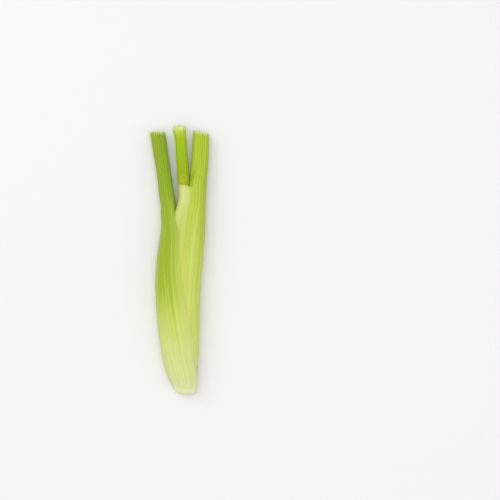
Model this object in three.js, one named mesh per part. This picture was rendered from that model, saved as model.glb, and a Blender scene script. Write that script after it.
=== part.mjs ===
// A trimmed baby fennel, lying on its flatter side.
// Millimetres, +Z up. The stalks point along +Y and the cut root end along -Y.
// The origin is on the surface it lies on, under the middle of the whole.
//
// Three leaves grow from a short root plate. Each leaf is a fleshy sheath that wraps what is
// inside it and narrows upwards into a ribbed stalk, cut off short. From the outside in:
// the outer leaf holds the left stalk, the second leaf the right one, the inner leaf the middle one.
import * as THREE from "three";

const GAP = 0.45; // air between a leaf and what it wraps
const EDGE = 0.65; // thickness of a sheath at its free edges
const MIDRIB_FALL = 1.3; // how fast the outer leaf thins from its midrib to them: more is faster
const RIBS = 12; // raised veins over the outside of each leaf
const RIB_DEPTH_STALK = 0.42; // from a vein's crest down to the furrow beside it
const RIB_DEPTH_BULB = 0.3;
const INNER_RIB_SHARE = 0.55; // the inner leaf's veins are shallower than the others'
const STEPS_PER_RIB = 4;
const INNER_STEPS = 24; // columns over the side of a leaf that faces inwards
const PLATE_COLUMNS = 24;
const SQUARENESS = 2.25; // 2 is an ellipse, more is fuller at the corners

const ROOT_CUT_Y = -94.5; // the knife cut across the root plate
const LEAF_CUT_Y = -94; // the same cut, where the leaf bases have shrunk back a little
const PLATE_TOP_Y = -81; // where the root plate ends inside the bulb
const COLLAR_Y = 51; // where the second leaf's sheath ends and its stalk stands free
const OUTER_TIP_Y = 90.1;
const SECOND_TIP_Y = 89.8;
const INNER_TIP_Y = 92.9;

// How the bulb's middle stands above the surface: y, height.
const AXIS_HEIGHT = [
  [-95, 9.6],
  [-60, 10.3],
  [-15, 10.8],
  [51, 10.8],
];

// What the outer leaf wraps, which is the second leaf's outside: y, left edge, right edge, half depth.
const SECOND_BODY = [
  [-95, -2.4, 11.2, 4.9],
  [-92, -3.6, 11.5, 5.3],
  [-87, -5.0, 11.7, 5.8],
  [-80, -6.9, 12.2, 6.8],
  [-68, -9.9, 12.9, 8.0],
  [-50, -11.8, 13.6, 8.9],
  [-30, -13.2, 14.0, 9.4],
  [-15, -12.9, 15.1, 9.5],
  [0, -11.2, 16.5, 9.2],
  [17, -7.6, 17.5, 8.3],
  [30, -5.0, 17.9, 7.7],
  [34, -4.0, 18.0, 7.5],
  [38, -2.1, 18.2, 7.25],
  [45, -1.3, 18.4, 6.8],
  [51, -1.2, 18.7, 6.3],
];

// What the second leaf wraps, which is the inner leaf and, at the foot, the root plate.
// Above the collar it is the middle stalk, which flares a little at its cut end.
const CORE_BODY = [
  [-95, -0.9, 9.4, 3.5],
  [-92, -2.1, 9.8, 4.0],
  [-87, -3.0, 9.9, 4.5],
  [-80, -5.3, 9.9, 5.3],
  [-68, -8.2, 10.1, 6.4],
  [-50, -10.1, 10.5, 7.3],
  [-30, -11.5, 10.5, 7.7],
  [-15, -11.2, 11.1, 7.8],
  [0, -9.6, 11.7, 7.6],
  [17, -6.1, 11.6, 6.9],
  [34, -1.1, 10.1, 5.5],
  [45, -0.1, 8.2, 4.4],
  [51, 0.1, 7.3, 3.9],
  [58, -1.3, 6.8, 4.0],
  [68, -2.0, 6.1, 3.95],
  [80, -2.8, 5.2, 3.95],
  [88, -4.0, 4.7, 4.0],
  [94, -5.1, 4.5, 4.1],
];
const INNER_HEIGHT = [
  [45, 10.8],
  [58, 11.0],
  [94, 12.6],
];

// The outer leaf's thickness at its midrib: y, thickness.
const OUTER_THICKNESS = [
  [-95, 1.0],
  [-87, 1.7],
  [-68, 2.1],
  [-50, 2.4],
  [-30, 2.9],
  [-15, 3.6],
  [0, 4.5],
  [17, 5.8],
  [26, 6.7],
  [34, 8.9],
];
// How far the outer leaf reaches round, in degrees from its midrib: y, over the top, underneath.
const OUTER_REACH = [
  [-95, 177, 177],
  [-87, 176, 177],
  [-80, 170, 174],
  [-68, 156, 164],
  [-50, 134, 150],
  [-30, 111, 136],
  [-15, 95, 125],
  [0, 78, 112],
  [10, 68, 95],
  [16, 62, 81],
  [21, 53, 70],
  [28, 39, 54],
  [36, 32, 36],
];
// Where each stalk runs free: y, x, z, half width, half depth.
const OUTER_STALK = [
  [8, -8.8, 10.8, 5.4, 5.0],
  [34, -7.95, 10.6, 5.55, 4.7],
  [50, -9.6, 10.0, 5.2, 4.4],
  [66, -11.95, 9.0, 5.1, 4.3],
  [90, -15.8, 7.6, 5.35, 4.3],
];
const SECOND_STALK = [
  [48, 13.15, 10.8, 5.85, 4.9],
  [51, 13.2, 10.7, 5.85, 4.7],
  [58, 13.6, 10.3, 6.1, 4.4],
  [68, 14.1, 9.7, 6.0, 4.3],
  [80, 14.65, 9.0, 5.9, 4.3],
  [90, 14.95, 8.5, 5.6, 4.3],
];
// How each cut leans: rise of y per millimetre of x and of z, over the last stretch before it.
const COLLAR_CUT = { x: -0.13, z: 0.2 };
const OUTER_CUT = { x: 0, z: -0.08 };
const SECOND_CUT = { x: -0.2, z: -0.12 };
const INNER_CUT = { x: 0.05, z: -0.4 };
const CUT_STRETCH = 9;
const CENTRING = 0.3; // moves everything sideways, so that the origin is under the middle

const CREAM = 0xe6e3b4;
const YELLOW_GREEN = 0xa8c51c;
const PALE_GREEN = 0xc6d369;
const LEAF_GREEN = 0xb4c755;

const STALK_TURN = rad(122); // half of a stalk's round that counts as its outside
const SEAM = 0.94; // the inward side starts a little beyond it
const SECOND_TURN = rad(172); // how far round the core the second leaf's sheath reaches
const STALK_SHARE = 0.6; // share of that reach that goes on upwards as the second stalk
const CORE_SHARE = 0.25; // the same for the inward side
const OUTER_BLEND = [18, 45]; // where the outer sheath turns into its stalk
const SECOND_BLEND = [51, 66];
const RIBS_FADE = [30, 56]; // over this the veins go from the bulb's depth to the stalk's

// Where the sections stand. All three leaves share the bulb's, so that their facets lie alongside.
const PLATE_STATIONS = [ROOT_CUT_Y, -93, -91, -89, -87, -84, PLATE_TOP_Y];
const BULB_STATIONS = [
  ...[LEAF_CUT_Y, -91, -87, -83, -78, -72, -65, -57, -48, -39, -30, -22],
  ...[-14, -6, 2, 9, 15, 20, 25, 30, 34, 39, 45],
];
const OUTER_STALK_STATIONS = [50, 56, 63, 72, OUTER_TIP_Y - CUT_STRETCH, 85, OUTER_TIP_Y];
const COLLAR_STATIONS = [49, COLLAR_Y];
const SECOND_STALK_STATIONS = [53, 56, 60, 66, 73, SECOND_TIP_Y - CUT_STRETCH, 85, SECOND_TIP_Y];
const INNER_STALK_STATIONS = [48, 51, 55, 60, 67, 75, INNER_TIP_Y - CUT_STRETCH, 88, INNER_TIP_Y];

function rad(degrees) {
  return (degrees * Math.PI) / 180;
}

function smoothstep([from, to], y) {
  const t = Math.min(1, Math.max(0, (y - from) / (to - from)));
  return t * t * (3 - 2 * t);
}

// A smooth curve through a table's rows, one value for each column after y.
function follow(table, y) {
  const last = table.length - 1;
  const at = Math.min(table[last][0], Math.max(table[0][0], y));
  let i = 0;
  while (i < last - 1 && at > table[i + 1][0]) i += 1;
  const slope = (k, column) => {
    const a = table[Math.max(0, k - 1)];
    const b = table[Math.min(last, k + 1)];
    return (b[column] - a[column]) / (b[0] - a[0]);
  };
  const [p, q] = [table[i], table[i + 1]];
  const width = q[0] - p[0];
  const t = (at - p[0]) / width;
  const rise = t * t * (3 - 2 * t);
  return p.slice(1).map((value, index) => {
    const column = index + 1;
    const leaving = slope(i, column) * width * t * (1 - t) * (1 - t);
    const arriving = slope(i + 1, column) * width * t * t * (t - 1);
    return value + (q[column] - value) * rise + leaving + arriving;
  });
}

// The cross-section of a wrapped body at y: its middle, half width and half depth.
function bodyAt(table, y) {
  const [left, right, depth] = follow(table, y);
  const heights = table === CORE_BODY && y > INNER_HEIGHT[0][0] ? INNER_HEIGHT : AXIS_HEIGHT;
  const [z] = follow(heights, y);
  return { x: (left + right) / 2, z, a: (right - left) / 2, b: depth };
}

function stalkAt(table, y) {
  const [x, z, a, b] = follow(table, y);
  return { x, z, a, b };
}

// The point of an oval section seen from its middle at an angle, pushed out by a margin.
function ovalPoint(section, angle, out = 0) {
  const across = Math.abs(Math.cos(angle)) / section.a;
  const up = Math.abs(Math.sin(angle)) / section.b;
  const radius = (across ** SQUARENESS + up ** SQUARENESS) ** (-1 / SQUARENESS) + out;
  return [section.x + radius * Math.cos(angle), section.z + radius * Math.sin(angle)];
}

const mix = (p, q, t) => [p[0] + (q[0] - p[0]) * t, p[1] + (q[1] - p[1]) * t];

// How far the surface lies below a vein's crest, where u runs over one leaf and is 0 at its midrib.
function furrow(u, y) {
  const depth = THREE.MathUtils.lerp(RIB_DEPTH_BULB, RIB_DEPTH_STALK, smoothstep(RIBS_FADE, y));
  return (depth * (1 - Math.cos(Math.PI * RIBS * u))) / 2;
}

// Keeps a point at least `clear` outside an oval section.
function keepOutside(point, section, clear) {
  const angle = Math.atan2(point[1] - section.z, point[0] - section.x);
  const edge = ovalPoint(section, angle, clear);
  const reach = Math.hypot(edge[0] - section.x, edge[1] - section.z);
  return Math.hypot(point[0] - section.x, point[1] - section.z) < reach ? edge : point;
}

const evenly = (count, from, to) =>
  Array.from({ length: count + 1 }, (_, i) => from + ((to - from) * i) / count);

// How much of a cut's lean a section at y takes.
const leanAt = (tip, y) => (y > tip ? 0 : smoothstep([tip - CUT_STRETCH, tip], y));

// Puts a section's points at y, none below the surface that the fennel lies on, leaning with a cut.
function placed(points, y, middle, lean = 0, cut = { x: 0, z: 0 }) {
  return points.map(([x, z]) => [
    x + CENTRING,
    y + lean * (cut.x * (x - middle.x) + cut.z * (z - middle.z)),
    Math.max(0, z),
  ]);
}

// Collects rings of points and the faces between them, and gives a closed geometry.
class Skin {
  constructor() {
    this.points = [];
    this.faces = [];
  }

  ring(points) {
    const first = this.points.length;
    this.points.push(...points);
    return points.map((_, i) => first + i);
  }

  bridge(low, high) {
    low.forEach((a, i) => {
      const next = (i + 1) % low.length;
      this.faces.push([a, high[i], high[next]], [a, high[next], low[next]]);
    });
  }

  // Closes a ring with a face that looks up the leaf (+1) or down it (-1).
  cap(ring, looks) {
    const outline = ring.map((i) => new THREE.Vector2(this.points[i][0], this.points[i][2]));
    THREE.ShapeUtils.triangulateShape(outline, []).forEach((corners) => {
      const counterClockwise = !THREE.ShapeUtils.isClockWise(corners.map((i) => outline[i]));
      const [a, b, c] = corners.map((i) => ring[i]);
      this.faces.push(counterClockwise === looks < 0 ? [a, b, c] : [a, c, b]);
    });
  }

  loft(rings) {
    rings.slice(1).forEach((ring, i) => this.bridge(rings[i], ring));
  }

  geometry() {
    const made = new THREE.BufferGeometry();
    made.setAttribute("position", new THREE.Float32BufferAttribute(this.points.flat(), 3));
    made.setIndex(this.faces.flat());
    made.computeVertexNormals();
    return made;
  }
}

// The outer leaf's section at y. Low down it is a crescent round the second leaf's body, thick at its
// midrib and thin at its free edges, and higher up it turns into the left stalk's oval.
function outerLeafRing(y) {
  const body = bodyAt(SECOND_BODY, Math.min(y, COLLAR_Y));
  const stalk = stalkAt(OUTER_STALK, y);
  const [thickness] = follow(OUTER_THICKNESS, y);
  const [over, under] = follow(OUTER_REACH, y).map(rad);
  const turning = smoothstep(OUTER_BLEND, y);
  const around = (u) => Math.PI + u * (u > 0 ? under : over);

  const outside = evenly(RIBS * STEPS_PER_RIB, -1, 1).map((u) => {
    const thick = EDGE + (thickness - EDGE) * Math.cos((u * Math.PI) / 2) ** MIDRIB_FALL;
    const groove = Math.min(furrow(u, y), thick / 2);
    const sheath = ovalPoint(body, around(u), GAP + thick - groove);
    const round = ovalPoint(stalk, Math.PI + u * STALK_TURN, -groove);
    return keepOutside(mix(sheath, round, turning), body, GAP + EDGE);
  });
  const inside = evenly(INNER_STEPS, 1, -1).map((u) => {
    const widened = 1 / Math.cos((over + under) / INNER_STEPS / 2);
    const wide = { ...body, a: body.a * widened, b: body.b * widened };
    const sheath = ovalPoint(wide, around(u), GAP);
    const round = ovalPoint(stalk, -u * SEAM * (Math.PI - STALK_TURN));
    return keepOutside(mix(sheath, round, turning), wide, GAP);
  });
  return placed([...outside, ...inside], y, stalk, leanAt(OUTER_TIP_Y, y), OUTER_CUT);
}

function outerLeaf() {
  const skin = new Skin();
  const stations = [...BULB_STATIONS, ...OUTER_STALK_STATIONS];
  const rings = stations.map((y) => skin.ring(outerLeafRing(y)));
  skin.loft(rings);
  skin.cap(rings[0], -1);
  skin.cap(rings.at(-1), 1);
  return skin.geometry();
}

// Columns of the second leaf: veins over the part that goes on as its stalk, plain flaps beside it.
const FLAP_STEPS = 6;
const SECOND_OUTSIDE = [
  ...evenly(FLAP_STEPS, -1, -STALK_SHARE).slice(0, -1),
  ...evenly(RIBS * STEPS_PER_RIB, -STALK_SHARE, STALK_SHARE),
  ...evenly(FLAP_STEPS, STALK_SHARE, 1).slice(1),
];
const SECOND_INSIDE = evenly(INNER_STEPS, 1, -1);

// The second leaf's section at y, low down all round the core and above the collar only its stalk.
function secondLeafRing(y, outsideColumns, insideColumns) {
  const body = bodyAt(SECOND_BODY, Math.min(y, COLLAR_Y));
  const core = bodyAt(CORE_BODY, y);
  const stalk = stalkAt(SECOND_STALK, y);
  const turning = smoothstep(SECOND_BLEND, y);

  const outside = outsideColumns.map((u) => {
    const onStalk = Math.abs(u) <= STALK_SHARE;
    const groove = onStalk ? furrow(u / STALK_SHARE, y) : 0;
    const sheath = ovalPoint(body, u * SECOND_TURN, -groove);
    const round = ovalPoint(stalk, (u / STALK_SHARE) * STALK_TURN, -groove);
    return mix(sheath, round, turning);
  });
  const inside = insideColumns.map((u) => {
    const widened = 1 / Math.cos(SECOND_TURN / INNER_STEPS);
    const wide = { ...core, a: core.a * widened, b: core.b * widened };
    const sheath = ovalPoint(wide, u * SECOND_TURN, GAP);
    const round = ovalPoint(stalk, Math.PI - (u / CORE_SHARE) * SEAM * (Math.PI - STALK_TURN));
    return mix(sheath, round, turning);
  });
  const collarLean = leanAt(COLLAR_Y, y);
  if (collarLean > 0) return placed([...outside, ...inside], y, core, collarLean, COLLAR_CUT);
  return placed([...outside, ...inside], y, stalk, leanAt(SECOND_TIP_Y, y), SECOND_CUT);
}

function secondLeaf() {
  const skin = new Skin();
  const sheathRings = [...BULB_STATIONS, ...COLLAR_STATIONS].map((y) =>
    skin.ring(secondLeafRing(y, SECOND_OUTSIDE, SECOND_INSIDE)),
  );
  skin.loft(sheathRings);
  skin.cap(sheathRings[0], -1);

  // The stalk goes on from the middle columns of the last sheath ring, and each flap ends in a free edge.
  const top = sheathRings.at(-1);
  const outsideTop = top.slice(0, SECOND_OUTSIDE.length);
  const insideTop = top.slice(SECOND_OUTSIDE.length);
  const insideFlap = (INNER_STEPS * (1 - CORE_SHARE)) / 2;
  const stalkOutside = outsideTop.slice(FLAP_STEPS, -FLAP_STEPS);
  const stalkInside = insideTop.slice(insideFlap, INNER_STEPS + 1 - insideFlap);
  skin.cap([...outsideTop.slice(-FLAP_STEPS - 1), ...insideTop.slice(0, insideFlap + 1)], 1);
  skin.cap([...insideTop.slice(-insideFlap - 1), ...outsideTop.slice(0, FLAP_STEPS + 1)], 1);

  const outsideColumns = SECOND_OUTSIDE.slice(FLAP_STEPS, -FLAP_STEPS);
  const insideColumns = SECOND_INSIDE.slice(insideFlap, INNER_STEPS + 1 - insideFlap);
  const stalkRings = SECOND_STALK_STATIONS.map((y) =>
    skin.ring(secondLeafRing(y, outsideColumns, insideColumns)),
  );
  skin.loft([[...stalkOutside, ...stalkInside], ...stalkRings]);
  skin.cap(stalkRings.at(-1), 1);
  return skin.geometry();
}

// The core's section at y, with the stalk's veins where it shows.
function coreRing(y, steps) {
  const body = bodyAt(CORE_BODY, y);
  const shows = INNER_RIB_SHARE * smoothstep([44, 54], y);
  const points = evenly(steps, 0, 2 * Math.PI)
    .slice(1)
    .map((angle) => ovalPoint(body, angle, -shows * furrow(angle / Math.PI, y)));
  return placed(points, y, body, leanAt(INNER_TIP_Y, y), INNER_CUT);
}

function innerLeaf() {
  const skin = new Skin();
  const bulb = BULB_STATIONS.filter((y) => y > PLATE_TOP_Y + GAP);
  const stations = [PLATE_TOP_Y + GAP, ...bulb, ...INNER_STALK_STATIONS];
  const rings = stations.map((y) => skin.ring(coreRing(y, RIBS * STEPS_PER_RIB)));
  skin.loft(rings);
  skin.cap(rings[0], -1);
  skin.cap(rings.at(-1), 1);
  return skin.geometry();
}

// The short stem that the leaves grow from, cut straight across at its foot.
function rootPlate() {
  const skin = new Skin();
  const rings = PLATE_STATIONS.map((y) => skin.ring(coreRing(y, PLATE_COLUMNS)));
  skin.loft(rings);
  skin.cap(rings[0], -1);
  skin.cap(rings.at(-1), 1);
  return skin.geometry();
}

function piece(name, geometry, colour, roughness) {
  const material = new THREE.MeshStandardMaterial({ color: colour, roughness, metalness: 0 });
  const mesh = new THREE.Mesh(geometry, material);
  mesh.name = name;
  return mesh;
}

const fennel = new THREE.Group();
fennel.add(piece("root_plate", rootPlate(), CREAM, 0.6));
fennel.add(piece("inner_leaf", innerLeaf(), YELLOW_GREEN, 0.42));
fennel.add(piece("second_leaf", secondLeaf(), PALE_GREEN, 0.45));
fennel.add(piece("outer_leaf", outerLeaf(), LEAF_GREEN, 0.45));

export default fennel;
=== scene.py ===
# A trimmed baby fennel lying on a pale table, seen from straight above.
# The frame gives the leaves' places and sizes. Here each leaf is made again from nearly the same
# sections, much finer: rounded veins of uneven height, thin waved edges, cut ends with their strands.
# Sizes are in millimetres until a mesh is made, which is in metres.
import math
from collections import namedtuple

import bpy
import numpy as np
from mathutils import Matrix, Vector


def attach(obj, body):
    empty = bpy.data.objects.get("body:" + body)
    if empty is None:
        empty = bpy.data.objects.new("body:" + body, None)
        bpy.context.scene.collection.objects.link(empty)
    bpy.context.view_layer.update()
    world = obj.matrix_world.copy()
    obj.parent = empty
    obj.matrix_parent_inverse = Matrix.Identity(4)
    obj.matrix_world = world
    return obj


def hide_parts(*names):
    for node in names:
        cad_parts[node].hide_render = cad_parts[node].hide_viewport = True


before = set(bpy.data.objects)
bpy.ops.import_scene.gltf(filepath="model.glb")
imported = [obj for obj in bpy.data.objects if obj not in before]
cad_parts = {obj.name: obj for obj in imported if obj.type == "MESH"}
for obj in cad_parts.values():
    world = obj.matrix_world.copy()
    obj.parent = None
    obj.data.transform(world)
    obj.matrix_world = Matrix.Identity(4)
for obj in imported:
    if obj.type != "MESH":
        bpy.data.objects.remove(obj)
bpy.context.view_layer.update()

MM = 0.001
SEED = 20

# The sections of the frame's solids, a little fuller at the base and at the middle stalk's foot.
# Each table's first column is y.
ROOT_CUT_Y = -94.6
LEAF_CUT_Y = -94.5
PLATE_TOP_Y = -81
COLLAR_Y = 51
OUTER_TIP_Y = 90.1
SECOND_TIP_Y = 89.8
INNER_TIP_Y = 92.9
CENTRING = 0.3
SQUARENESS = 2.25

AXIS_HEIGHT = [(-95, 9.6), (-60, 10.3), (-15, 10.8), (51, 10.8)]
INNER_HEIGHT = [(45, 10.8), (58, 11.0), (94, 12.6)]

# What the outer leaf wraps: y, left edge, right edge, half depth
SECOND_BODY = [
    (-95, -2.7, 11.4, 5.0),
    (-92, -3.7, 11.5, 5.3),
    (-87, -5.0, 11.7, 5.8),
    (-80, -6.9, 12.2, 6.8),
    (-68, -9.9, 12.9, 8.0),
    (-50, -11.8, 13.6, 8.9),
    (-30, -13.2, 14.0, 9.4),
    (-15, -12.9, 15.1, 9.5),
    (0, -11.2, 16.5, 9.2),
    (17, -7.6, 17.5, 8.3),
    (30, -5.0, 17.9, 7.7),
    (34, -4.0, 18.0, 7.5),
    (38, -2.1, 18.2, 7.25),
    (45, -1.1, 18.4, 6.8),
    (51, -1.2, 18.7, 6.3),
]
# What the second leaf wraps, and above the collar the middle stalk
CORE_BODY = [
    (-95, -1.2, 9.6, 3.6),
    (-92, -2.2, 9.8, 4.0),
    (-87, -3.0, 9.9, 4.5),
    (-80, -5.3, 9.9, 5.3),
    (-68, -8.2, 10.1, 6.4),
    (-50, -10.1, 10.5, 7.3),
    (-30, -11.5, 10.5, 7.7),
    (-15, -11.2, 11.1, 7.8),
    (0, -9.6, 11.7, 7.6),
    (17, -6.1, 11.6, 6.9),
    (34, -1.1, 10.1, 5.5),
    (45, -0.3, 8.2, 4.6),
    (51, -0.5, 7.5, 4.3),
    (54, -1.2, 7.4, 4.2),
    (58, -1.6, 6.9, 4.1),
    (68, -2.0, 6.1, 3.95),
    (80, -2.8, 5.2, 3.95),
    (88, -4.0, 4.7, 4.0),
    (94, -5.1, 4.5, 4.1),
]
# y, thickness at the midrib
OUTER_THICKNESS = [
    (-95, 1.0),
    (-87, 1.7),
    (-68, 2.1),
    (-50, 2.4),
    (-30, 2.9),
    (-15, 3.6),
    (0, 4.5),
    (17, 5.8),
    (26, 6.7),
    (34, 8.9),
]
# y, degrees round from the midrib over the top, and underneath
OUTER_REACH = [
    (-95, 177, 177),
    (-87, 176, 177),
    (-80, 170, 174),
    (-68, 156, 164),
    (-50, 134, 150),
    (-30, 111, 136),
    (-15, 95, 125),
    (0, 78, 112),
    (10, 68, 95),
    (16, 62, 81),
    (21, 53, 70),
    (28, 39, 54),
    (36, 32, 36),
]
# y, x, z, half width, half depth
OUTER_STALK = [
    (8, -8.8, 10.8, 5.4, 5.0),
    (34, -7.95, 10.6, 5.55, 4.7),
    (50, -9.6, 10.0, 5.2, 4.4),
    (66, -11.95, 9.0, 5.1, 4.3),
    (90, -15.8, 7.6, 5.35, 4.3),
]
SECOND_STALK = [
    (48, 13.15, 10.8, 5.85, 4.9),
    (51, 13.2, 10.7, 5.85, 4.7),
    (58, 13.6, 10.3, 6.1, 4.4),
    (68, 14.1, 9.7, 6.0, 4.3),
    (80, 14.65, 9.0, 5.9, 4.3),
    (90, 14.95, 8.5, 5.6, 4.3),
]
COLLAR_CLIMB = 0.28  # how fast the collar's rim rises to the left of the right fork
FORK_X = 7.2
# The lean of each cut: rise of y per millimetre of x and of z
OUTER_CUT = (0, -0.08)
SECOND_CUT = (-0.2, -0.12)
INNER_CUT = (0.05, -0.4)
CUT_STRETCH = 9  # a cut's lean fades over this far below it

STALK_TURN = math.radians(122)  # half of a stalk's round that counts as its outside
SEAM = 0.94  # the inward side starts a little beyond it
SECOND_TURN = math.radians(172)  # how far round the core the second leaf's sheath reaches
BASE_CLOSING = math.radians(7.3)  # how much further round it reaches at its base
CLOSING_RUN = (-72, -90)
STALK_SHARE = 0.6  # share of that reach that goes on upwards as the second stalk
# How far round the collar the stalk's share spreads evenly, and how much further close to its sides
COLLAR_FAN = (math.radians(86), math.radians(14))
COLLAR_FAN_POWER = 6
FAN_RUNS = (5, 51)  # the veins draw together into the stalk between these heights
CORE_SHARE = 0.25  # share of the inward side that goes on as the stalk's
OUTER_BLEND = (18, 45)  # where the outer sheath turns into its stalk
SECOND_BLEND = (51, 66)
RIBS_FADE = (30, 56)  # over this the ribs go from the bulb's depth to the stalk's
MIDRIB_FALL = 1.3  # how fast the outer leaf thins from its midrib
SOLID_GAP = 0.45  # the frame's solids keep this far apart
SOLID_EDGE = 0.65  # and are this thick at their free edges

# What is finer here
GAP = 0.08  # the leaves press this close
EDGE = 0.14  # a sheath's free edge
EDGE_TAPER = 3.2  # how far in from its edge a sheath reaches its full thickness
EDGE_MARGIN = 2.0  # how far in from its edge its paler margin fades
OUTER_EDGE_BULGE = 0.5 * EDGE
SECOND_EDGE_BULGE = 0.3
EDGES_APART = 40  # sets the waves of the outer leaf's two edges apart
RIBS = 12
STEPS_PER_RIB = 14
VEINS_PER_RIB = 3
RIB_DEPTH_STALK = 0.42
RIB_DEPTH_BULB = 0.16
SECOND_RIB_SHARE = 0.8  # the other two stalks' ribs are shallower than the outer leaf's
INNER_RIB_SHARE = 0.5
INNER_RIBS_RUN = (44, 54)  # the inner leaf has ribs from here on, where it comes out of the collar
LEAST_RIB = 0.45  # the flattest rib's height, where the proudest's is 1
VEIN_DEPTH = 0.07
FURROW_SHARPNESS = 1.5  # more makes the ridges broader and the furrows between them narrower
BULB_VEIN_SHOWS = 0.3  # how much of a vein's contrast is left on the bulb
ROOT_BULGE = 0.032  # how fast the cut root end curves back from its middle, a square millimetre
ROOT_MIDDLE = (5.1, 8.8)
BULGE_RUNS = (-80, -94)
BASE_ROUNDING = 1.2  # how far the leaves' bases draw in at their cut, together
BASE_ROUNDING_RUN = 0.8  # and how quickly that fades above it
SECOND_DRAWS_IN = 0.6  # shares of it for the second leaf, the core and the outer leaf
CORE_DRAWS_IN = 0.25
OUTER_DRAWS_IN = 0.4
LAYERS = 10  # steps through a leaf's thickness, which its cut faces show
INNER_COLUMNS = 110
PLATE_COLUMNS = 90
ROW_STEP = 1.05
FINE_ROW_STEP = 0.35  # at a leaf's ends and at the two places below
FINE_ROWS_REACH = 4
OUTER_BEND_Y = 34
INNER_FOOT_Y = 52
LYING_SOFTNESS = 0.35  # how gently the underside flattens on the table
STALK_LUMP_SHARE = 0.6  # a stalk is less lumpy than its sheath
SHARP_ANGLE = math.radians(50)  # edges sharper than this aren't shaded as round

# The collar's flaps, to both sides of the second stalk
FLAP_COLUMNS = 44
FLAP_VEINS = 9
FLAP_VEIN_DEPTH = 0.12
FLAP_FADE = 0.08  # share of the round over which the stalk's veins give way to the flap's
RIM_MARGIN_RUN = (49.5, 51)  # the rim is paler from here on
TORN_STRETCH = 55  # how quickly the torn rim's waves follow one another
TORN_FADE = 12  # how quickly they begin beside the stalk

# Waves: how many, the longest, the most turns round the leaf, their size
OUTER_EDGE_WAVES = (6, 60, 0, 0.018)
OUTER_LUMPS = (8, 90, 4, 0.14)
OUTER_WANDER = (5, 70, 2, 0.006)
SECOND_LUMPS = (8, 80, 4, 0.12)
SECOND_WANDER = (5, 60, 2, 0.006)
TORN_RIM = (7, 60, 0, 0.5)
INNER_WANDER = (5, 50, 2, 0.01)
INNER_LUMPS = (6, 60, 3, 0.09)
PLATE_LUMPS = (6, 12, 6, 0.07)

# Strands on a cut face: how many, how far out they stand where the skin is at 1, how wide each is
STALK_STRANDS = (22, 0.82, 0.24)
INNER_STRANDS = (18, 0.8, 0.22)
PLATE_STRANDS = (14, 0.62, 0.3)
STRAND_SHIFT = (-0.2, 0.2)  # how unevenly they stand round the ring, and out from its middle
STRAND_RING = (0.94, 1.03)
STRAND_HEIGHT = 0.1
STALK_PITH_SINK = 0.35  # how far the middle of a cut has shrunk back
INNER_PITH_SINK = 0.3
PLATE_SINK = 0.15
PLATE_RINGS = 5
PLATE_RING_HEIGHT = 0.06
TIP_CUT_GRAIN = 0.02  # how ragged the knife left it
BASE_CUT_GRAIN = 0.03

# About how far each skin is from its middle, for the width of the streaks round it
LEAF_RADIUS = 10.0
INNER_RADIUS = 6.0
PLATE_RADIUS = 5.0

# Colours are screen values from 0 to 255
SHEEN = 0.008  # the white that a leaf's sheen lays over its colour, in light values
PALE_EDGE = (222, 228, 158)
GREENER = (246, 250, 214)  # a leaf's colour is multiplied by this in its darker streaks
MOTTLE_TAN = (214, 206, 140)
BUTT_CREAM = (234, 234, 188)
BUTT_TAN = (214, 203, 148)
COLLAR_PALE = (214, 222, 148)
# Painted shade: an olive laid on the second stalk's left flank just above the collar
FORK_PAINTED_SHADE = (136, 156, 14)
FOOT_OLIVE = (182, 198, 2)
FOOT_FLECK = (138, 148, 0)
# On a cut face: the pith, the ring of strands, the rim of skin
OUTER_CUT_COLOURS = ((226, 234, 184), (196, 212, 120), (132, 160, 48))
SECOND_CUT_COLOURS = ((226, 234, 184), (200, 214, 124), (150, 176, 60))
INNER_CUT_COLOURS = ((216, 225, 136), (200, 214, 96), (160, 188, 40))
ROOT_CUT_COLOURS = ((236, 232, 200), (224, 218, 170), (206, 196, 140))
# Along each leaf, at y
OUTER_MIDRIB = [
    (-94, (214, 218, 166)),
    (-80, (206, 213, 144)),
    (-60, (200, 210, 124)),
    (-40, (190, 204, 98)),
    (-20, (164, 185, 56)),
    (0, (153, 176, 44)),
    (25, (146, 173, 38)),
    (55, (142, 170, 34)),
    (90, (145, 171, 42)),
]
OUTER_SIDE = [
    (-94, (214, 218, 166)),
    (-80, (205, 213, 141)),
    (-60, (203, 212, 131)),
    (-40, (199, 210, 112)),
    (-20, (184, 200, 83)),
    (0, (174, 193, 69)),
    (22, (156, 181, 53)),
    (50, (140, 168, 34)),
    (90, (140, 166, 44)),
]
SECOND_MIDRIB = [
    (-94, (216, 219, 168)),
    (-75, (200, 207, 106)),
    (-40, (190, 201, 81)),
    (0, (186, 199, 77)),
    (40, (172, 190, 56)),
    (65, (162, 186, 42)),
    (90, (166, 192, 46)),
]
SECOND_SIDE = [
    (-94, (216, 219, 168)),
    (-75, (207, 216, 126)),
    (-40, (197, 206, 107)),
    (0, (192, 203, 95)),
    (40, (178, 196, 70)),
    (65, (172, 195, 56)),
    (90, (168, 193, 50)),
]
INNER_ALONG = [
    (-80, (205, 214, 120)),
    (45, (190, 202, 90)),
    (58, (152, 176, 2)),
    (72, (154, 185, 4)),
    (84, (160, 190, 20)),
    (92, (180, 202, 60)),
]
ALONG = (-95, 95)
# Where, from the midrib at 0 to the edge at 1, the side's colour takes over
OUTER_SIDE_RUN = (0.55, 1.0)
SECOND_SIDE_RUN = (0.05, 0.3)
EVEN_RUN = (0.0, 1.0)
DRIFT_LENGTH = 34.0  # how far those colours stray along the leaf
FURROW_SHADE = 0.085  # how much darker the furrows between veins are
INNER_FURROW_SHADE = 0.07
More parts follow.
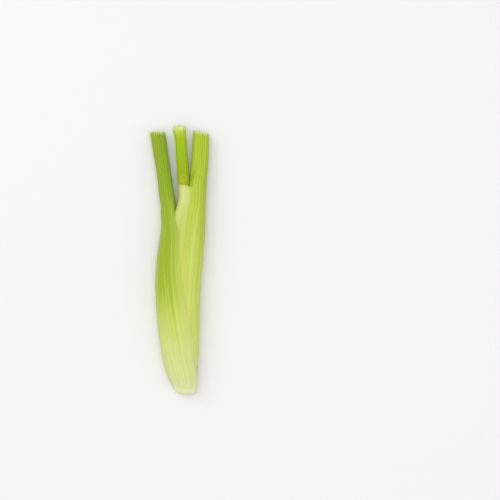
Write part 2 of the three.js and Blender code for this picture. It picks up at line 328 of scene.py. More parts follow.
# How fine each pattern is across the leaf, along it and inwards: more is finer
DRIFT_GRAIN = (0.35, 0.035, 0.35)
WIDE_STREAK_GRAIN = (0.55, 0.012, 0.55)
STREAK_GRAIN = (1.6, 0.02, 1.6)
FINE_STREAK_GRAIN = (6.0, 0.12, 6.0)
MOTTLE_GRAIN = (0.5, 0.25, 0.5)
SKIN_GRAIN = (9.0, 2.2, 9.0)
PATCH_GRAIN = (0.9, 0.6, 0.9)
FLECK_GRAIN = (0.9, 0.7, 0.9)
CELLS_PER_METRE = 2600.0
PATCHES_PER_METRE = 500.0
FLESH_LIGHT_REACH = (0.9, 1.0, 0.35)  # red, green and blue light, as shares of the depth below
FLESH_DEPTH = 0.0016  # in metres, as are the bumps' heights
STREAK_BUMP = 0.0002
GRAIN_BUMP = 0.00006
CELL_BUMP = 0.0001
SKIN_SOFTNESS = 0.22
FLESH_SOFTNESS = 0.3
SKIN_SPECULAR = 0.16
CELL_LIGHTENS = 12  # how much lighter the palest cells of the pith are
DRY_RUN = (2.6, 0.2)  # how far below its tip a stalk begins to be dry, and where it is dry
FOOT_RUN = (-94.0, -90.0)  # the leaves' cream foot

MIDDLE_HEIGHT = 11
CAMERA_HEIGHT = 972  # above the fennel's middle
CAMERA_X = 49.55
CAMERA_Y = 7
LENS = 100
# These are in metres
VIEW_END = 50
TABLE_SIZE = 4.0
# name, place, size, power in watts
LIGHTS = [
    ("key_from_upper_left", (-0.75, 0.55, 1.1), 0.9, 3.4),
    ("overhead_fill", (0.05, 0.0, 1.6), 1.0, 9.5),
    ("low_right_fill", (0.9, -0.5, 0.6), 0.8, 0.6),
]
SKY_STRENGTH = 0.68
TABLE_WHITE = (0.82, 0.817, 0.82, 1)

Oval = namedtuple("Oval", "x z a b")
random = np.random.default_rng(SEED)


def smoothstep(limits, y):
    """0 up to the first limit and 1 from the second on, with a soft rise between them."""
    t = np.clip((y - limits[0]) / (limits[1] - limits[0]), 0, 1)
    return t * t * (3 - 2 * t)


def follow(table, y):
    """Smooth curves through a table's rows: one array, shaped like y, for each column after the first."""
    rows = np.array(table, float)
    last = len(rows) - 1
    at = np.clip(y, rows[0, 0], rows[last, 0])
    i = np.clip(np.searchsorted(rows[:, 0], at, side="left") - 1, 0, last - 1)
    before = np.maximum(np.arange(last + 1) - 1, 0)
    after = np.minimum(np.arange(last + 1) + 1, last)
    slopes = (rows[after] - rows[before]) / (rows[after] - rows[before])[:, :1]
    width = rows[i + 1, 0] - rows[i, 0]
    t = (at - rows[i, 0]) / width
    rise = t * t * (3 - 2 * t)
    curves = []
    for column in range(1, rows.shape[1]):
        start, end = rows[i, column], rows[i + 1, column]
        leaving = slopes[i, column] * width * t * (1 - t) ** 2
        arriving = slopes[i + 1, column] * width * t * t * (t - 1)
        curves.append(start + (end - start) * rise + leaving + arriving)
    return curves


def body_at(table, y, high=None, drawn_in=0.0):
    """A body's ovals at y. Where the table high begins, it says how high they stand."""
    left, right, depth = follow(table, y)
    z = follow(AXIS_HEIGHT, y)[0]
    if high is not None:
        z = np.where(y > high[0][0], follow(high, y)[0], z)
    less = drawn_in * base_rounding(y)
    return Oval((left + right) / 2, z, (right - left) / 2 - less, depth - less)


def oval_point(section, angle, out=0.0):
    """The point of a squarish oval at an angle, moved outwards by out."""
    across = np.abs(np.cos(angle)) / section.a
    up = np.abs(np.sin(angle)) / section.b
    radius = (across**SQUARENESS + up**SQUARENESS) ** (-1 / SQUARENESS) + out
    return np.stack([section.x + radius * np.cos(angle), section.z + radius * np.sin(angle)], axis=-1)


def keep_outside(points, section, clear):
    """Moves the points that lie in an oval out of it, and clear of it."""
    dx = points[..., 0] - section.x
    dz = points[..., 1] - section.z
    edge = oval_point(section, np.arctan2(dz, dx), clear)
    reach = np.hypot(edge[..., 0] - section.x, edge[..., 1] - section.z)
    return np.where((np.hypot(dx, dz) < reach)[..., None], edge, points)


def lerp(p, q, t):
    """From p where t is 0 to q where it is 1."""
    return p + (q - p) * t


def waves(count, longest, turns, size):
    """A smooth random field over angle and y: whole turns round, and waves of many lengths along."""
    lengths = longest / (1 + np.arange(count))
    around = random.integers(0, turns + 1, count)
    phases = random.uniform(0, 2 * math.pi, count)
    weights = size / (1 + np.arange(count))

    def field(angle, y):
        total = 0
        for k in range(count):
            phase = around[k] * angle + 2 * math.pi * y / lengths[k] + phases[k]
            total = total + weights[k] * np.sin(phase)
        return total

    return field


def rib_heights():
    """How proud each vein stands, one number a vein and the same at both ends."""
    heights = random.uniform(LEAST_RIB, 1.0, RIBS + 1)
    heights[-1] = heights[0]
    return heights


def relief(u, y, heights, wander, strength=1.0):
    """How far below the leaf's full outline its surface lies, and how near a vein's crest it is."""
    bent = u + wander(math.pi * u, y) * (1 - u * u)
    on_stalk = smoothstep(RIBS_FADE, y)
    depth = lerp(RIB_DEPTH_BULB, RIB_DEPTH_STALK * strength, on_stalk)
    proud = np.interp((bent + 1) / 2 * RIBS, np.arange(RIBS + 1), heights)
    furrow = (0.5 - 0.5 * np.cos(math.pi * RIBS * bent)) ** FURROW_SHARPNESS
    fine = 0.5 - 0.5 * np.cos(math.pi * RIBS * VEINS_PER_RIB * bent)
    crest = 1 - proud * furrow * lerp(BULB_VEIN_SHOWS, 1.0, on_stalk)
    return depth * proud * furrow + VEIN_DEPTH * fine, crest


def rows_between(start, end, fine_spots=()):
    """Heights for the rows from start to end, closer together near the ends and near each fine spot."""
    rows = [start]
    spots = [start, end, *fine_spots]
    while rows[-1] < end:
        nearest = min(abs(rows[-1] - spot) for spot in spots)
        rows.append(rows[-1] + lerp(FINE_ROW_STEP, ROW_STEP, min(1, nearest / FINE_ROWS_REACH)))
    rows[-1] = end
    return np.array(rows)[:, None]


def base_rounding(y):
    """How much a leaf's base has drawn in at y."""
    return BASE_ROUNDING * np.exp((LEAF_CUT_Y - y) / BASE_ROUNDING_RUN)


def lean_at(tip, y):
    """How much of the cut's lean the rows below a tip have."""
    return np.where(y > tip, 0, smoothstep((tip - CUT_STRETCH, tip), y))


def shell_faces(alive):
    """The outer faces of a block of cells, of which some may be missing, turned outwards.
    The axes run along the leaf, round it and inwards. Also says which faces are cut across the leaf."""
    shape = tuple(n + 1 for n in alive.shape)
    number = np.arange(np.prod(shape)).reshape(shape)
    padded = np.pad(alive, 1)
    faces = []
    cut = []
    for axis, (first, second) in enumerate(((1, 2), (2, 0), (0, 1))):
        for side in (0, 1):
            beside = np.roll(padded, 1 - 2 * side, axis=axis)[1:-1, 1:-1, 1:-1]
            cells = np.argwhere(alive & ~beside)
            steps = [(0, 0), (1, 0), (1, 1), (0, 1)]
            if side:
                steps.reverse()
            corners = []
            for step_first, step_second in steps:
                corner = cells.copy()
                corner[:, axis] += side
                corner[:, first] += step_first
                corner[:, second] += step_second
                corners.append(number[tuple(corner.T)])
            faces.append(np.stack(corners, axis=1))
            cut.append(np.full(len(cells), axis == 0))
    return np.concatenate(faces), np.concatenate(cut)


def make_piece(name, node, blocks, alive, materials):
    """A closed mesh from a block of points and its values, standing for one of the frame's nodes."""
    faces, cut = shell_faces(alive)
    used = np.unique(faces)
    renumber = np.zeros(blocks["place"][..., 0].size, int)
    renumber[used] = np.arange(len(used))
    place = blocks["place"].reshape(-1, 3)[used] * MM
    mesh = bpy.data.meshes.new(name)
    mesh.from_pydata(place.tolist(), [], renumber[faces].tolist())
    for key, values in blocks.items():
        if key == "place":
            continue
        if values.shape[-1:] == (3,) and values.ndim == 4:
            layer = mesh.attributes.new(key, "FLOAT_VECTOR", "POINT")
            layer.data.foreach_set("vector", values.reshape(-1, 3)[used].ravel())
        else:
            layer = mesh.attributes.new(key, "FLOAT", "POINT")
            layer.data.foreach_set("value", values.reshape(-1)[used].ravel())
    for material in materials:
        mesh.materials.append(material)
    mesh.polygons.foreach_set("material_index", cut.astype(np.int32))
    mesh.polygons.foreach_set("use_smooth", np.ones(len(faces), bool))
    mesh.set_sharp_from_angle(angle=SHARP_ANGLE)
    piece = bpy.data.objects.new(name, mesh)
    bpy.context.collection.objects.link(piece)
    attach(piece, "root")
    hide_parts(node)


def settle(height):
    """Eases what would reach below the table up onto it."""
    return 0.5 * (height + np.sqrt(height**2 + LYING_SOFTNESS**2))


def through(outside, inside):
    """Fills in the layers from a leaf's outside to its inside."""
    depth = np.linspace(0, 1, LAYERS + 1)[:, None]
    return lerp(outside[:, :, None, :], inside[:, :, None, :], depth)


def round_edges(section, bulge):
    """Rounds the two free edges of a sheath's sections, by bulge, one number a row."""
    swell = np.sin(np.linspace(0, math.pi, LAYERS + 1))[None, :, None]
    for edge, beside in ((0, 1), (-1, -2)):
        away = section[:, edge] - section[:, beside]
        away /= np.linalg.norm(away, axis=-1, keepdims=True) + 1e-9
        section[:, edge] += away * swell * bulge[:, :, None]
    return section


def strands(section, middle, count, ring, spread):
    """How near each point of a cut face is to one of the strands that stand in a ring inside it."""
    dx = section[..., 0] - middle.x[..., None]
    dz = section[..., 1] - middle.z[..., None]
    near = np.zeros(dx.shape)
    for k in range(count):
        angle = 2 * math.pi * (k + random.uniform(*STRAND_SHIFT)) / count
        radius = ring * random.uniform(*STRAND_RING)
        x = radius * middle.a[..., None] * math.cos(angle)
        z = radius * middle.b[..., None] * math.sin(angle)
        near = np.maximum(near, np.exp(-((dx - x) ** 2 + (dz - z) ** 2) / spread**2))
    return near


def cut_radius(section, middle):
    """0 at the middle of a stalk's cut face and 1 at its skin."""
    across = np.abs(section[..., 0] - middle.x[..., None]) / middle.a[..., None]
    up = np.abs(section[..., 1] - middle.z[..., None]) / middle.b[..., None]
    return np.clip((across**SQUARENESS + up**SQUARENESS) ** (1 / SQUARENESS), 0, 1)


def stand(section, y, middle, lean, cut):
    """Turns sections into points: sets them at their y, leaning with a cut, and down on the table."""
    x = section[..., 0]
    z = section[..., 1]
    leaning = cut[0] * (x - middle.x[..., None]) + cut[1] * (z - middle.z[..., None])
    along = y[..., None] + lean[..., None] * leaning
    from_middle = (x - ROOT_MIDDLE[0]) ** 2 + (z - ROOT_MIDDLE[1]) ** 2
    along = along + ROOT_BULGE * from_middle * smoothstep(BULGE_RUNS, along)
    return np.stack([x + CENTRING, along, settle(z)], axis=-1)


def flow_of(angle, along, radius=LEAF_RADIUS):
    """Coordinates that follow the leaf, so that streaks run along it and close up round it."""
    return np.stack([radius * np.cos(angle), along, radius * np.sin(angle)], axis=-1)


def widen(values):
    """The same value through all layers."""
    return np.repeat(values[:, :, None], LAYERS + 1, axis=2)


def finish_cut(place, row, sink, strand, roughness, side):
    """Gives a cut face its form: the pith sunk, the strands proud, a slight raggedness from the knife."""
    grain = random.normal(0, roughness, place.shape[1:3])
    place[row, ..., 1] += side * (STRAND_HEIGHT * strand[row] - sink + grain)


def finish_leaf(place, section, stalk):
    """Forms both cuts of a leaf. Gives how far out each point is on a cut and how near a strand."""
    radius = cut_radius(section, stalk)
    strand = strands(section, stalk, *STALK_STRANDS)
    finish_cut(place, -1, STALK_PITH_SINK * (1 - radius[-1] ** 2), strand, TIP_CUT_GRAIN, 1)
    finish_cut(place, 0, 0.0, strand * 0, BASE_CUT_GRAIN, -1)
    return radius, strand


def all_cells(place):
    """The cells between a block's points, none of them missing."""
    return np.ones(tuple(n - 1 for n in place.shape[:3]), bool)


def sheath_values(place, u, y, angle, vein, edge, radius, strand):
    """The block of a leaf that wraps others: its points, and the values that its materials read."""
    return {
        "place": place,
        "along": widen(y + 0 * u),
        "across": widen(np.abs(u) + 0 * y),
        "vein": widen(vein + 0 * y),
        "edge": widen(edge),
        "radius": radius,
        "strand": strand,
        "flow": flow_of(widen(angle + 0 * y), widen(y + 0 * u)),
    }


def closed_values(place, y, turn, vein, radius, strand, flow_radius):
    """The same for a piece that is solid right through."""
    along = y[..., None] + 0 * radius
    return {
        "place": place,
        "along": along,
        "across": np.abs(turn) / math.pi,
        "vein": vein,
        "edge": 0 * radius,
        "radius": radius,
        "strand": strand,
        "flow": flow_of(turn, along, flow_radius),
    }


# The leaves


def outer_leaf(materials):
    """The left stalk with the sheath that wraps the bulb from the left."""
    y = rows_between(LEAF_CUT_Y, OUTER_TIP_Y, (OUTER_BEND_Y,))
    u = np.linspace(-1, 1, RIBS * STEPS_PER_RIB + 1)[None, :]
    body = body_at(SECOND_BODY, np.minimum(y, COLLAR_Y), drawn_in=SECOND_DRAWS_IN)
    stalk = Oval(*follow(OUTER_STALK, y))
    thickness = follow(OUTER_THICKNESS, y)[0]
    over, under = (np.radians(reach) for reach in follow(OUTER_REACH, y))
    turning = smoothstep(OUTER_BLEND, y)
    edge_waves = waves(*OUTER_EDGE_WAVES)
    reach = np.where(u > 0, under, over) * (1 + edge_waves(0, y + EDGES_APART * np.sign(u)) * u * u)
    around = math.pi + u * reach

    # The outside stands off what the sheath wraps, and goes over into the stalk's own oval
    lumps = waves(*OUTER_LUMPS)
    groove, vein = relief(u, y, rib_heights(), waves(*OUTER_WANDER))
    solid = SOLID_GAP + SOLID_EDGE + (thickness - SOLID_EDGE) * np.cos(u * math.pi / 2) ** MIDRIB_FALL
    from_edge = (1 - np.abs(u)) * reach * body.a
    taper = 1 - np.exp(-from_edge / EDGE_TAPER)
    out = GAP + EDGE + (solid - GAP - EDGE - groove + lumps(around, y)) * taper
    out = np.maximum(out - OUTER_DRAWS_IN * base_rounding(y), GAP + 0.5 * EDGE)
    sheath = oval_point(body, around, out)
    oval = oval_point(stalk, math.pi + u * STALK_TURN, lumps(around, y) * STALK_LUMP_SHARE - groove)
    outside = keep_outside(lerp(sheath, oval, turning[..., None]), body, GAP + EDGE)

    # The inside lies against it, and goes over into the stalk's inward side
    sheath = oval_point(body, around, GAP)
    oval = oval_point(stalk, -u * SEAM * (math.pi - STALK_TURN))
    inside = keep_outside(lerp(sheath, oval, turning[..., None]), body, GAP)

    section = round_edges(through(outside, inside), OUTER_EDGE_BULGE * (1 - turning))
    place = stand(section, y, stalk, lean_at(OUTER_TIP_Y, y), OUTER_CUT)
    radius, strand = finish_leaf(place, section, stalk)
    edge = np.exp(-from_edge / EDGE_MARGIN) * (1 - turning)
    blocks = sheath_values(place, u, y, math.pi * u, vein, edge, radius, strand)
    make_piece("outer_leaf_fine", "outer_leaf", blocks, all_cells(place), materials)


def collar_angle(u):
    """Where the second leaf's columns stand round its collar: the stalk's share of them in front, the
    flaps' beyond."""
    on_stalk = np.minimum(np.abs(u) / STALK_SHARE, 1)
    stalk_part = COLLAR_FAN[0] * on_stalk + COLLAR_FAN[1] * on_stalk**COLLAR_FAN_POWER
    beyond = np.maximum(np.abs(u) - STALK_SHARE, 0) / (1 - STALK_SHARE)
    return np.sign(u) * lerp(stalk_part, SECOND_TURN, beyond)


def second_columns():
    """Where the second leaf's columns stand on its outer side and on its inner side, from -1 to 1.
    On the inner side the stalk takes a smaller share of the round, and each column keeps its mate."""
    flap = np.linspace(1, STALK_SHARE, FLAP_COLUMNS + 1)[:-1]
    middle = np.linspace(-STALK_SHARE, STALK_SHARE, RIBS * STEPS_PER_RIB + 1)
    u = np.concatenate([-flap, middle, flap[::-1]])[None, :]
    beyond = np.abs(u) - STALK_SHARE
    core_u = np.where(
        beyond <= 0,
        u * CORE_SHARE / STALK_SHARE,
        np.sign(u) * (CORE_SHARE + beyond * (1 - CORE_SHARE) / (1 - STALK_SHARE)),
    )
    return u, core_u


def second_relief(u, y):
    """The stalk's relief in the middle and the flaps' own beyond it. Also gives how much is flap."""
    on_stalk = np.clip(u / STALK_SHARE, -1, 1)
    groove, vein = relief(on_stalk, y, rib_heights(), waves(*SECOND_WANDER), SECOND_RIB_SHARE)
    beyond = np.abs(u) - STALK_SHARE
    flap_share = np.clip(beyond / FLAP_FADE, 0, 1)
    flap_furrow = 0.5 - 0.5 * np.cos(2 * math.pi * FLAP_VEINS * beyond / (1 - STALK_SHARE))
    groove = lerp(groove, FLAP_VEIN_DEPTH * flap_furrow + 0 * y, flap_share)
    vein = lerp(vein, 1 - flap_furrow, flap_share)
    return groove, vein, flap_share


def raise_rim(place, section, u, y):
    """Makes the collar's rim climb from the fork to its free edges, a little torn."""
    climb = COLLAR_CLIMB * np.maximum(FORK_X - section[..., 0], 0)
    tearing = np.clip((np.abs(u) - STALK_SHARE) * TORN_FADE, 0, 1)
    torn = waves(*TORN_RIM)(0, TORN_STRETCH * u) * tearing
    to_rim = np.where(y > COLLAR_Y, 0, smoothstep((COLLAR_Y - CUT_STRETCH, COLLAR_Y), y))
    place[..., 1] += to_rim[..., None] * (climb + torn[..., None])


def second_leaf(materials):
    """The right stalk with its sheath, whose collar crosses the middle stalk's foot."""
    sheath_rows = rows_between(LEAF_CUT_Y, COLLAR_Y)
    stalk_rows = rows_between(COLLAR_Y, SECOND_TIP_Y)[1:]
    y = np.concatenate([sheath_rows, stalk_rows])
    u, core_u = second_columns()
    body = body_at(SECOND_BODY, np.minimum(y, COLLAR_Y), drawn_in=SECOND_DRAWS_IN)
    core = body_at(CORE_BODY, y, INNER_HEIGHT, CORE_DRAWS_IN)
    stalk = Oval(*follow(SECOND_STALK, y))
    turning = smoothstep(SECOND_BLEND, y)
    on_stalk = np.clip(u / STALK_SHARE, -1, 1)

    # The outside goes round the core, and over into the stalk's own oval above the collar
    lumps = waves(*SECOND_LUMPS)
    groove, vein, flap_share = second_relief(u, y)
    turn = SECOND_TURN + BASE_CLOSING * smoothstep(CLOSING_RUN, y)
    angle = lerp(u * turn, collar_angle(u), smoothstep(FAN_RUNS, y))
    from_edge = (1 - np.abs(u)) * SECOND_TURN * body.a
    sheath = oval_point(body, angle, lumps(angle, y) - groove)
    oval = oval_point(stalk, on_stalk * STALK_TURN, lumps(angle, y) * STALK_LUMP_SHARE - groove)
    outside = keep_outside(lerp(sheath, oval, turning[..., None]), core, GAP + EDGE)

    # The inside lies against the core, and goes over into the stalk's inward side
    sheath = oval_point(core, core_u * turn, GAP)
    oval = oval_point(stalk, math.pi - core_u / CORE_SHARE * SEAM * (math.pi - STALK_TURN))
    inside = lerp(sheath, oval, turning[..., None])

    section = round_edges(through(outside, inside), SECOND_EDGE_BULGE * (1 - turning))
    place = stand(section, y, stalk, lean_at(SECOND_TIP_Y, y), SECOND_CUT)
    raise_rim(place, section, u, y)
    radius, strand = finish_leaf(place, section, stalk)
    at_rim = flap_share * smoothstep(RIM_MARGIN_RUN, y)
    edge = np.maximum(np.exp(-from_edge / EDGE_MARGIN), at_rim) * (1 - turning)
    blocks = sheath_values(place, u, y, angle, vein, edge, radius, strand)
    # The flaps end at the collar
    alive = all_cells(place)
    alive[len(sheath_rows) - 1 :, :FLAP_COLUMNS] = False
    alive[len(sheath_rows) - 1 :, -FLAP_COLUMNS:] = False
    make_piece("second_leaf_fine", "second_leaf", blocks, alive, materials)


def closed_section(section, y, columns, out):
    """A closed oval's points as a block: its round is shared out between outside, inside and two walls."""
    count = 2 * (columns - 1) + 2 * LAYERS
    step = 2 * math.pi / count
    angle = (math.pi / 2 - (columns - 1) / 2 * step + step * np.arange(count))[None, :]
    ring = oval_point(section, angle, out(angle, y))
    outside = ring[:, :columns]
    inside = ring[:, columns - 1 + LAYERS : 2 * columns - 1 + LAYERS][:, ::-1]
    block = through(outside, inside)
    block[:, -1] = ring[:, columns - 1 : columns + LAYERS]
    block[:, 0, 1:] = ring[:, count - LAYERS :][:, ::-1]
    turn = np.arctan2(
        block[..., 1] - section.z[..., None],
        block[..., 0] - section.x[..., None],
    )
    return block, turn


def inner_leaf(materials):
    """The middle stalk with its fleshy base inside the bulb."""
    y = rows_between(PLATE_TOP_Y + GAP, INNER_TIP_Y, (INNER_FOOT_Y,))
    section = body_at(CORE_BODY, y, INNER_HEIGHT)
    ribbed = smoothstep(INNER_RIBS_RUN, y)
    heights = rib_heights()
    wander = waves(*INNER_WANDER)
    lumps = waves(*INNER_LUMPS)

    def out(angle, y):
        groove, _ = relief((angle / math.pi) % 2 - 1, y, heights, wander)
        return ribbed * (lumps(angle, y) - INNER_RIB_SHARE * groove)

    block, turn = closed_section(section, y, INNER_COLUMNS, out)
    vein = relief((turn / math.pi) % 2 - 1, y[..., None], heights, wander)[1]
    place = stand(block, y, section, lean_at(INNER_TIP_Y, y), INNER_CUT)
    radius = cut_radius(block, section)
    strand = strands(block, section, *INNER_STRANDS)
    finish_cut(place, -1, INNER_PITH_SINK * (1 - radius[-1] ** 2), strand, TIP_CUT_GRAIN, 1)
    blocks = closed_values(place, y, turn, vein, radius, strand, INNER_RADIUS)
    make_piece("inner_leaf_fine", "inner_leaf", blocks, all_cells(place), materials)


def root_plate(materials):
    """The short cut stem at the base that the leaves grow from."""
    y = rows_between(ROOT_CUT_Y, PLATE_TOP_Y)
    section = body_at(CORE_BODY, y, drawn_in=CORE_DRAWS_IN)
    lumps = waves(*PLATE_LUMPS)
    block, turn = closed_section(section, y, PLATE_COLUMNS, lumps)
    place = stand(block, y, section, 0 * y, OUTER_CUT)
    radius = cut_radius(block, section)
    strand = strands(block, section, *PLATE_STRANDS)
    rings = PLATE_RING_HEIGHT * np.cos(radius[0] * PLATE_RINGS * math.pi)
    finish_cut(place, 0, PLATE_SINK * (1 - radius[0] ** 2) + rings, strand, BASE_CUT_GRAIN, -1)
    blocks = closed_values(place, y, turn, 0 * radius + 0.5, radius, strand, PLATE_RADIUS)
    make_piece("root_plate_fine", "root_plate", blocks, all_cells(place), materials)


# The materials


def linear(colour):
    """A colour given as screen values from 0 to 255, in the renderer's own light values."""
    values = [c / 255 for c in colour]
    return [v / 12.92 if v <= 0.04045 else ((v + 0.055) / 1.055) ** 2.4 for v in values] + [1.0]


def pigment(colour):
    """The same, less the white that the leaf's sheen lays over it."""
    return [max(0.0, value - SHEEN) for value in linear(colour)[:3]] + [1.0]


class Nodes:
    """Short ways to add a material's nodes."""

    def __init__(self, name):
        self.material = bpy.data.materials.new(name)
        self.material.use_nodes = True
        self.tree = self.material.node_tree
        self.shader = self.tree.nodes["Principled BSDF"]

    def put(self, socket, value):
        if isinstance(value, bpy.types.NodeSocket):
            self.tree.links.new(value, socket)
        else:
            socket.default_value = value

    def attribute(self, name, output="Fac"):
        node = self.tree.nodes.new("ShaderNodeAttribute")
        node.attribute_name = name
        return node.outputs[output]

    def math(self, operation, first, second):
        node = self.tree.nodes.new("ShaderNodeMath")
        node.operation = operation
        self.put(node.inputs[0], first)
        self.put(node.inputs[1], second)
        return node.outputs[0]

    def times(self, first, second):
        return self.math("MULTIPLY", first, second)

    def between(self, value, low, high, to_low=0.0, to_high=1.0):
        node = self.tree.nodes.new("ShaderNodeMapRange")
        node.interpolation_type = "SMOOTHSTEP"
        self.put(node.inputs["Value"], value)
        sockets = ("From Min", "From Max", "To Min", "To Max")
        for socket, number in zip(sockets, (low, high, to_low, to_high)):
            node.inputs[socket].default_value = number
        return node.outputs["Result"]

    def noise(self, vector, stretch, scale, detail=3.0, roughness=0.55):
        spread = self.tree.nodes.new("ShaderNodeVectorMath")
        spread.operation = "MULTIPLY"
        self.put(spread.inputs[0], vector)
        spread.inputs[1].default_value = stretch
        node = self.tree.nodes.new("ShaderNodeTexNoise")
        self.put(node.inputs["Vector"], spread.outputs[0])
        node.inputs["Scale"].default_value = scale
        node.inputs["Detail"].default_value = detail
        node.inputs["Roughness"].default_value = roughness
        return node.outputs["Fac"]

    def ramp(self, value, stops, low, high):
        """A colour ramp whose stops are given at real values from low to high."""
        node = self.tree.nodes.new("ShaderNodeValToRGB")
        place = self.between_linear(value, low, high)
        self.put(node.inputs[0], place)
        elements = node.color_ramp.elements
        while len(elements) > 1:
            elements.remove(elements[-1])
        for i, (at, colour) in enumerate(stops):
            position = (at - low) / (high - low)
            element = elements[0] if i == 0 else elements.new(position)
            element.position = position
            element.color = pigment(colour)
        return node.outputs["Color"]

    def between_linear(self, value, low, high):
        node = self.tree.nodes.new("ShaderNodeMapRange")
        self.put(node.inputs["Value"], value)
        node.inputs["From Min"].default_value = low
        node.inputs["From Max"].default_value = high
        return node.outputs["Result"]

    def mix(self, factor, first, second, blend="MIX"):
        node = self.tree.nodes.new("ShaderNodeMix")
        node.data_type = "RGBA"
        node.blend_type = blend
        node.clamp_factor = True
        self.put(node.inputs[0], factor)
        # The colours' sockets come after those for numbers and vectors
        self.put(node.inputs[6], pigment(first) if isinstance(first, tuple) else first)
        self.put(node.inputs[7], pigment(second) if isinstance(second, tuple) else second)
        return node.outputs[2]

    def grey(self, value):
        """A grey colour from a number, for multiplying a colour by it."""
        node = self.tree.nodes.new("ShaderNodeCombineColor")
        for i in range(3):
            self.put(node.inputs[i], value)
        return node.outputs[0]

    def bump(self, height, distance, strength, under=None):
        node = self.tree.nodes.new("ShaderNodeBump")
        node.inputs["Distance"].default_value = distance
        node.inputs["Strength"].default_value = strength
        self.put(node.inputs["Height"], height)
        if under is not None:
            self.put(node.inputs["Normal"], under)
        return node.outputs["Normal"]


def leaf_colour(n, midrib_stops, side_stops, side_run, along, across, flow):
    """A leaf's colour along its length, from its midrib to its sides, with uneven borders."""
    drift = n.math("SUBTRACT", n.noise(flow, DRIFT_GRAIN, 1.0, 4.0), 0.5)
    shifted = n.math("ADD", along, n.times(drift, DRIFT_LENGTH))
    midrib = n.ramp(shifted, midrib_stops, *ALONG)
    side = n.ramp(shifted, side_stops, *ALONG)
    return n.mix(n.between(across, *side_run), midrib, side)


def with_streaks(n, colour, along, vein, flow, fine_streaks, furrow_shade):
    """The same with greener and paler streaks along the leaf and a shade in the furrows between veins."""
    wide_streaks = n.noise(flow, WIDE_STREAK_GRAIN, 1.0, 2.0, 0.5)
    streaks = n.noise(flow, STREAK_GRAIN, 1.0, 5.0, 0.7)
    greener = n.mix(1.0, colour, GREENER, "MULTIPLY")
    colour = n.mix(n.between(wide_streaks, 0.5, 0.68, 0.0, 0.8), colour, greener)
    pale_streaks = n.between(wide_streaks, 0.48, 0.34, 0.0, 0.2)
    pale_streaks = n.times(pale_streaks, n.between(along, 10.0, 55.0, 1.0, 0.4))
    colour = n.mix(pale_streaks, colour, PALE_EDGE)
    shade = n.between(streaks, 0.3, 0.7, 0.94, 1.05)
    shade = n.times(shade, n.between(fine_streaks, 0.3, 0.7, 0.97, 1.03))
    shade = n.times(shade, n.between(vein, 0.0, 1.0, 1.0 - furrow_shade, 1.03))
    return n.mix(1.0, colour, n.grey(shade), "MULTIPLY")


def with_age(n, colour, along, vein, edge, flow, tip):
    """The same with pale margins, tan mottling, a drying tip if there is one, and a cream foot."""
    colour = n.mix(n.times(edge, 0.2), colour, PALE_EDGE)
    mottle = n.noise(flow, MOTTLE_GRAIN, 1.0, 5.0, 0.65)
    colour = n.mix(n.between(mottle, 0.62, 0.78, 0.0, 0.22), colour, MOTTLE_TAN)
    if tip is not None:
        dry = n.between(along, tip - DRY_RUN[0], tip - DRY_RUN[1])
        colour = n.mix(n.times(dry, n.between(vein, 0.3, 0.95, 0.15, 0.75)), colour, PALE_EDGE)
    foot = n.between(along, *FOOT_RUN, 1.0, 0.0)
    return n.mix(n.times(foot, 0.6), colour, BUTT_CREAM)


def skin(name, midrib_stops, side_stops, side_run, tip=None, extra=None, furrow_shade=FURROW_SHADE):
    """A leaf's skin, slightly glossy and finely streaked. What extra does comes under the streaks."""
    n = Nodes(name)
    along = n.attribute("along")
    across = n.attribute("across")
    vein = n.attribute("vein")
    edge = n.attribute("edge")
    flow = n.attribute("flow", "Vector")
    fine_streaks = n.noise(flow, FINE_STREAK_GRAIN, 1.0, 3.0, 0.6)
    colour = leaf_colour(n, midrib_stops, side_stops, side_run, along, across, flow)
    if extra is not None:
        colour = extra(n, colour, along, across)
    colour = with_streaks(n, colour, along, vein, flow, fine_streaks, furrow_shade)
    colour = with_age(n, colour, along, vein, edge, flow, tip)
    n.put(n.shader.inputs["Base Color"], colour)
    grain = n.noise(flow, SKIN_GRAIN, 1.0, 4.0, 0.6)
    n.put(n.shader.inputs["Roughness"], n.between(grain, 0.25, 0.75, 0.36, 0.52))
    normal = n.bump(fine_streaks, STREAK_BUMP, 0.5)
    normal = n.bump(grain, GRAIN_BUMP, 0.5, normal)
    n.put(n.shader.inputs["Normal"], normal)
    soften(n.shader, SKIN_SOFTNESS)
    return n.material


def soften(shader, weight):
    """Lets light a little way into the flesh."""
    shader.inputs["Subsurface Weight"].default_value = weight
    shader.inputs["Subsurface Radius"].default_value = FLESH_LIGHT_REACH
    shader.inputs["Subsurface Scale"].default_value = FLESH_DEPTH
    shader.inputs["Specular IOR Level"].default_value = SKIN_SPECULAR


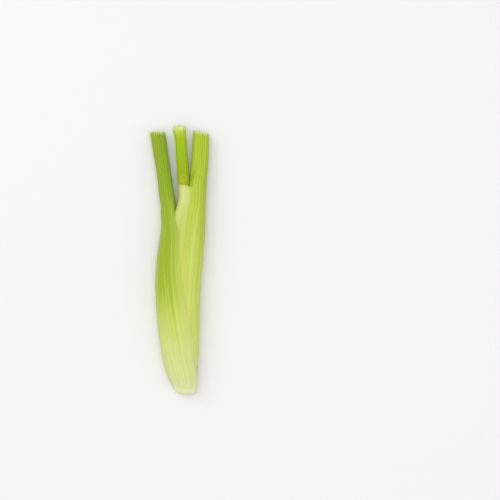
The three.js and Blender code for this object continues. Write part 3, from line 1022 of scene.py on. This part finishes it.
def cut_flesh(name, pith, ring, skin_rim):
    """A cut face: wet pale pith, a ring of darker strands and a thin green skin round it."""
    n = Nodes(name)
    radius = n.attribute("radius")
    strand = n.attribute("strand")
    along = n.attribute("along")
    place = n.tree.nodes.new("ShaderNodeTexCoord").outputs["Object"]
    cells = n.noise(place, (1.0, 1.0, 1.0), CELLS_PER_METRE, 3.0, 0.6)
    wide = n.noise(place, (1.0, 1.0, 1.0), PATCHES_PER_METRE, 3.0, 0.6)
    lightest = tuple(min(255, c + CELL_LIGHTENS) for c in pith)
    colour = n.mix(n.between(cells, 0.35, 0.65), pith, lightest)
    colour = n.mix(n.between(wide, 0.45, 0.75, 0.0, 0.5), colour, ring)
    colour = n.mix(n.between(radius, 0.62, 0.9, 0.0, 0.55), colour, ring)
    colour = n.mix(n.times(strand, 0.55), colour, skin_rim)
    colour = n.mix(n.between(radius, 0.93, 0.99, 0.0, 0.9), colour, skin_rim)
    root_end = n.between(along, -93.0, -90.0, 1.0, 0.0)
    tan = n.mix(n.between(wide, 0.4, 0.7), BUTT_CREAM, BUTT_TAN)
    colour = n.mix(root_end, colour, tan)
    n.put(n.shader.inputs["Base Color"], colour)
    n.put(n.shader.inputs["Roughness"], n.between(cells, 0.3, 0.7, 0.28, 0.5))
    n.put(n.shader.inputs["Normal"], n.bump(cells, CELL_BUMP, 0.6))
    soften(n.shader, FLESH_SOFTNESS)
    return n.material


def collar_colour(n, colour, along, across):
    """The second leaf's collar is pale in its middle, and its stalk's flank at the fork gets a painted
    olive shade.
    """
    rising = n.times(n.between(along, 12.0, 46.0), n.between(along, 51.0, 53.0, 1.0, 0.0))
    middle = n.times(n.between(across, 0.5, 0.79), n.between(across, 0.84, 0.96, 1.0, 0.4))
    colour = n.mix(n.times(n.times(middle, rising), 0.92), colour, COLLAR_PALE)
    # Painted shade: the second stalk's left flank just above the collar is darkened towards olive
    fork = n.times(n.between(along, 48.5, 54.0), n.between(along, 55.0, 70.0, 1.0, 0.0))
    flank_painted_shade = n.times(n.between(across, 0.49, 0.6), fork)
    return n.mix(n.times(flank_painted_shade, 0.7), colour, FORK_PAINTED_SHADE)


def foot_colour(n, colour, along, across):
    """The middle stalk is olive where it comes out of the collar."""
    flow = n.attribute("flow", "Vector")
    patchy = n.noise(flow, PATCH_GRAIN, 1.0, 3.0)
    upper = n.math("ADD", along, n.times(n.math("SUBTRACT", patchy, 0.5), 9.0))
    flecks = n.noise(flow, FLECK_GRAIN, 1.0, 4.0)
    olive = n.mix(n.between(flecks, 0.35, 0.7), FOOT_OLIVE, FOOT_FLECK)
    return n.mix(n.between(upper, 56.5, 60.0, 0.85, 0.0), colour, olive)


def make_leaves():
    outer_skin = skin("outer_leaf_skin", OUTER_MIDRIB, OUTER_SIDE, OUTER_SIDE_RUN, OUTER_TIP_Y)
    second_skin = skin(
        "second_leaf_skin", SECOND_MIDRIB, SECOND_SIDE, SECOND_SIDE_RUN, SECOND_TIP_Y, collar_colour
    )
    inner_skin = skin(
        "inner_leaf_skin", INNER_ALONG, INNER_ALONG, EVEN_RUN, INNER_TIP_Y, foot_colour, INNER_FURROW_SHADE
    )
    outer_leaf([outer_skin, cut_flesh("outer_cut_flesh", *OUTER_CUT_COLOURS)])
    second_leaf([second_skin, cut_flesh("second_cut_flesh", *SECOND_CUT_COLOURS)])
    inner_leaf([inner_skin, cut_flesh("inner_cut_flesh", *INNER_CUT_COLOURS)])
    plate_skin = skin("root_flesh", OUTER_SIDE, OUTER_SIDE, EVEN_RUN)
    root_plate([plate_skin, cut_flesh("root_cut_flesh", *ROOT_CUT_COLOURS)])


# The table, the light and the camera


def make_table():
    bpy.ops.mesh.primitive_plane_add(size=TABLE_SIZE, location=(0, 0, 0))
    table = bpy.context.object
    table.name = "table"
    n = Nodes("table_white")
    n.shader.inputs["Base Color"].default_value = TABLE_WHITE
    n.shader.inputs["Roughness"].default_value = 0.8
    n.shader.inputs["Specular IOR Level"].default_value = 0.2
    table.data.materials.append(n.material)


def soft_light(name, place, size, power):
    """A square soft box at a place in metres, turned to the fennel."""
    light = bpy.data.lights.new(name, "AREA")
    light.shape = "SQUARE"
    light.size = size
    light.energy = power
    lamp = bpy.data.objects.new(name, light)
    lamp.location = place
    lamp.rotation_euler = (-Vector(place)).to_track_quat("-Z", "Y").to_euler()
    bpy.context.collection.objects.link(lamp)


def make_light():
    for name, place, size, power in LIGHTS:
        soft_light(name, place, size, power)
    world = bpy.data.worlds.new("studio")
    bpy.context.scene.world = world
    world.use_nodes = True
    background = world.node_tree.nodes["Background"]
    background.inputs["Color"].default_value = (1.0, 1.0, 1.0, 1)
    background.inputs["Strength"].default_value = SKY_STRENGTH


def make_camera():
    camera = bpy.data.cameras.new("from_above")
    camera.lens = LENS
    camera.clip_end = VIEW_END
    holder = bpy.data.objects.new("from_above", camera)
    holder.location = Vector((CAMERA_X, CAMERA_Y, MIDDLE_HEIGHT + CAMERA_HEIGHT)) * MM
    bpy.context.collection.objects.link(holder)
    bpy.context.scene.camera = holder


make_leaves()
make_table()
make_light()
make_camera()
bpy.context.scene.view_settings.view_transform = "Standard"
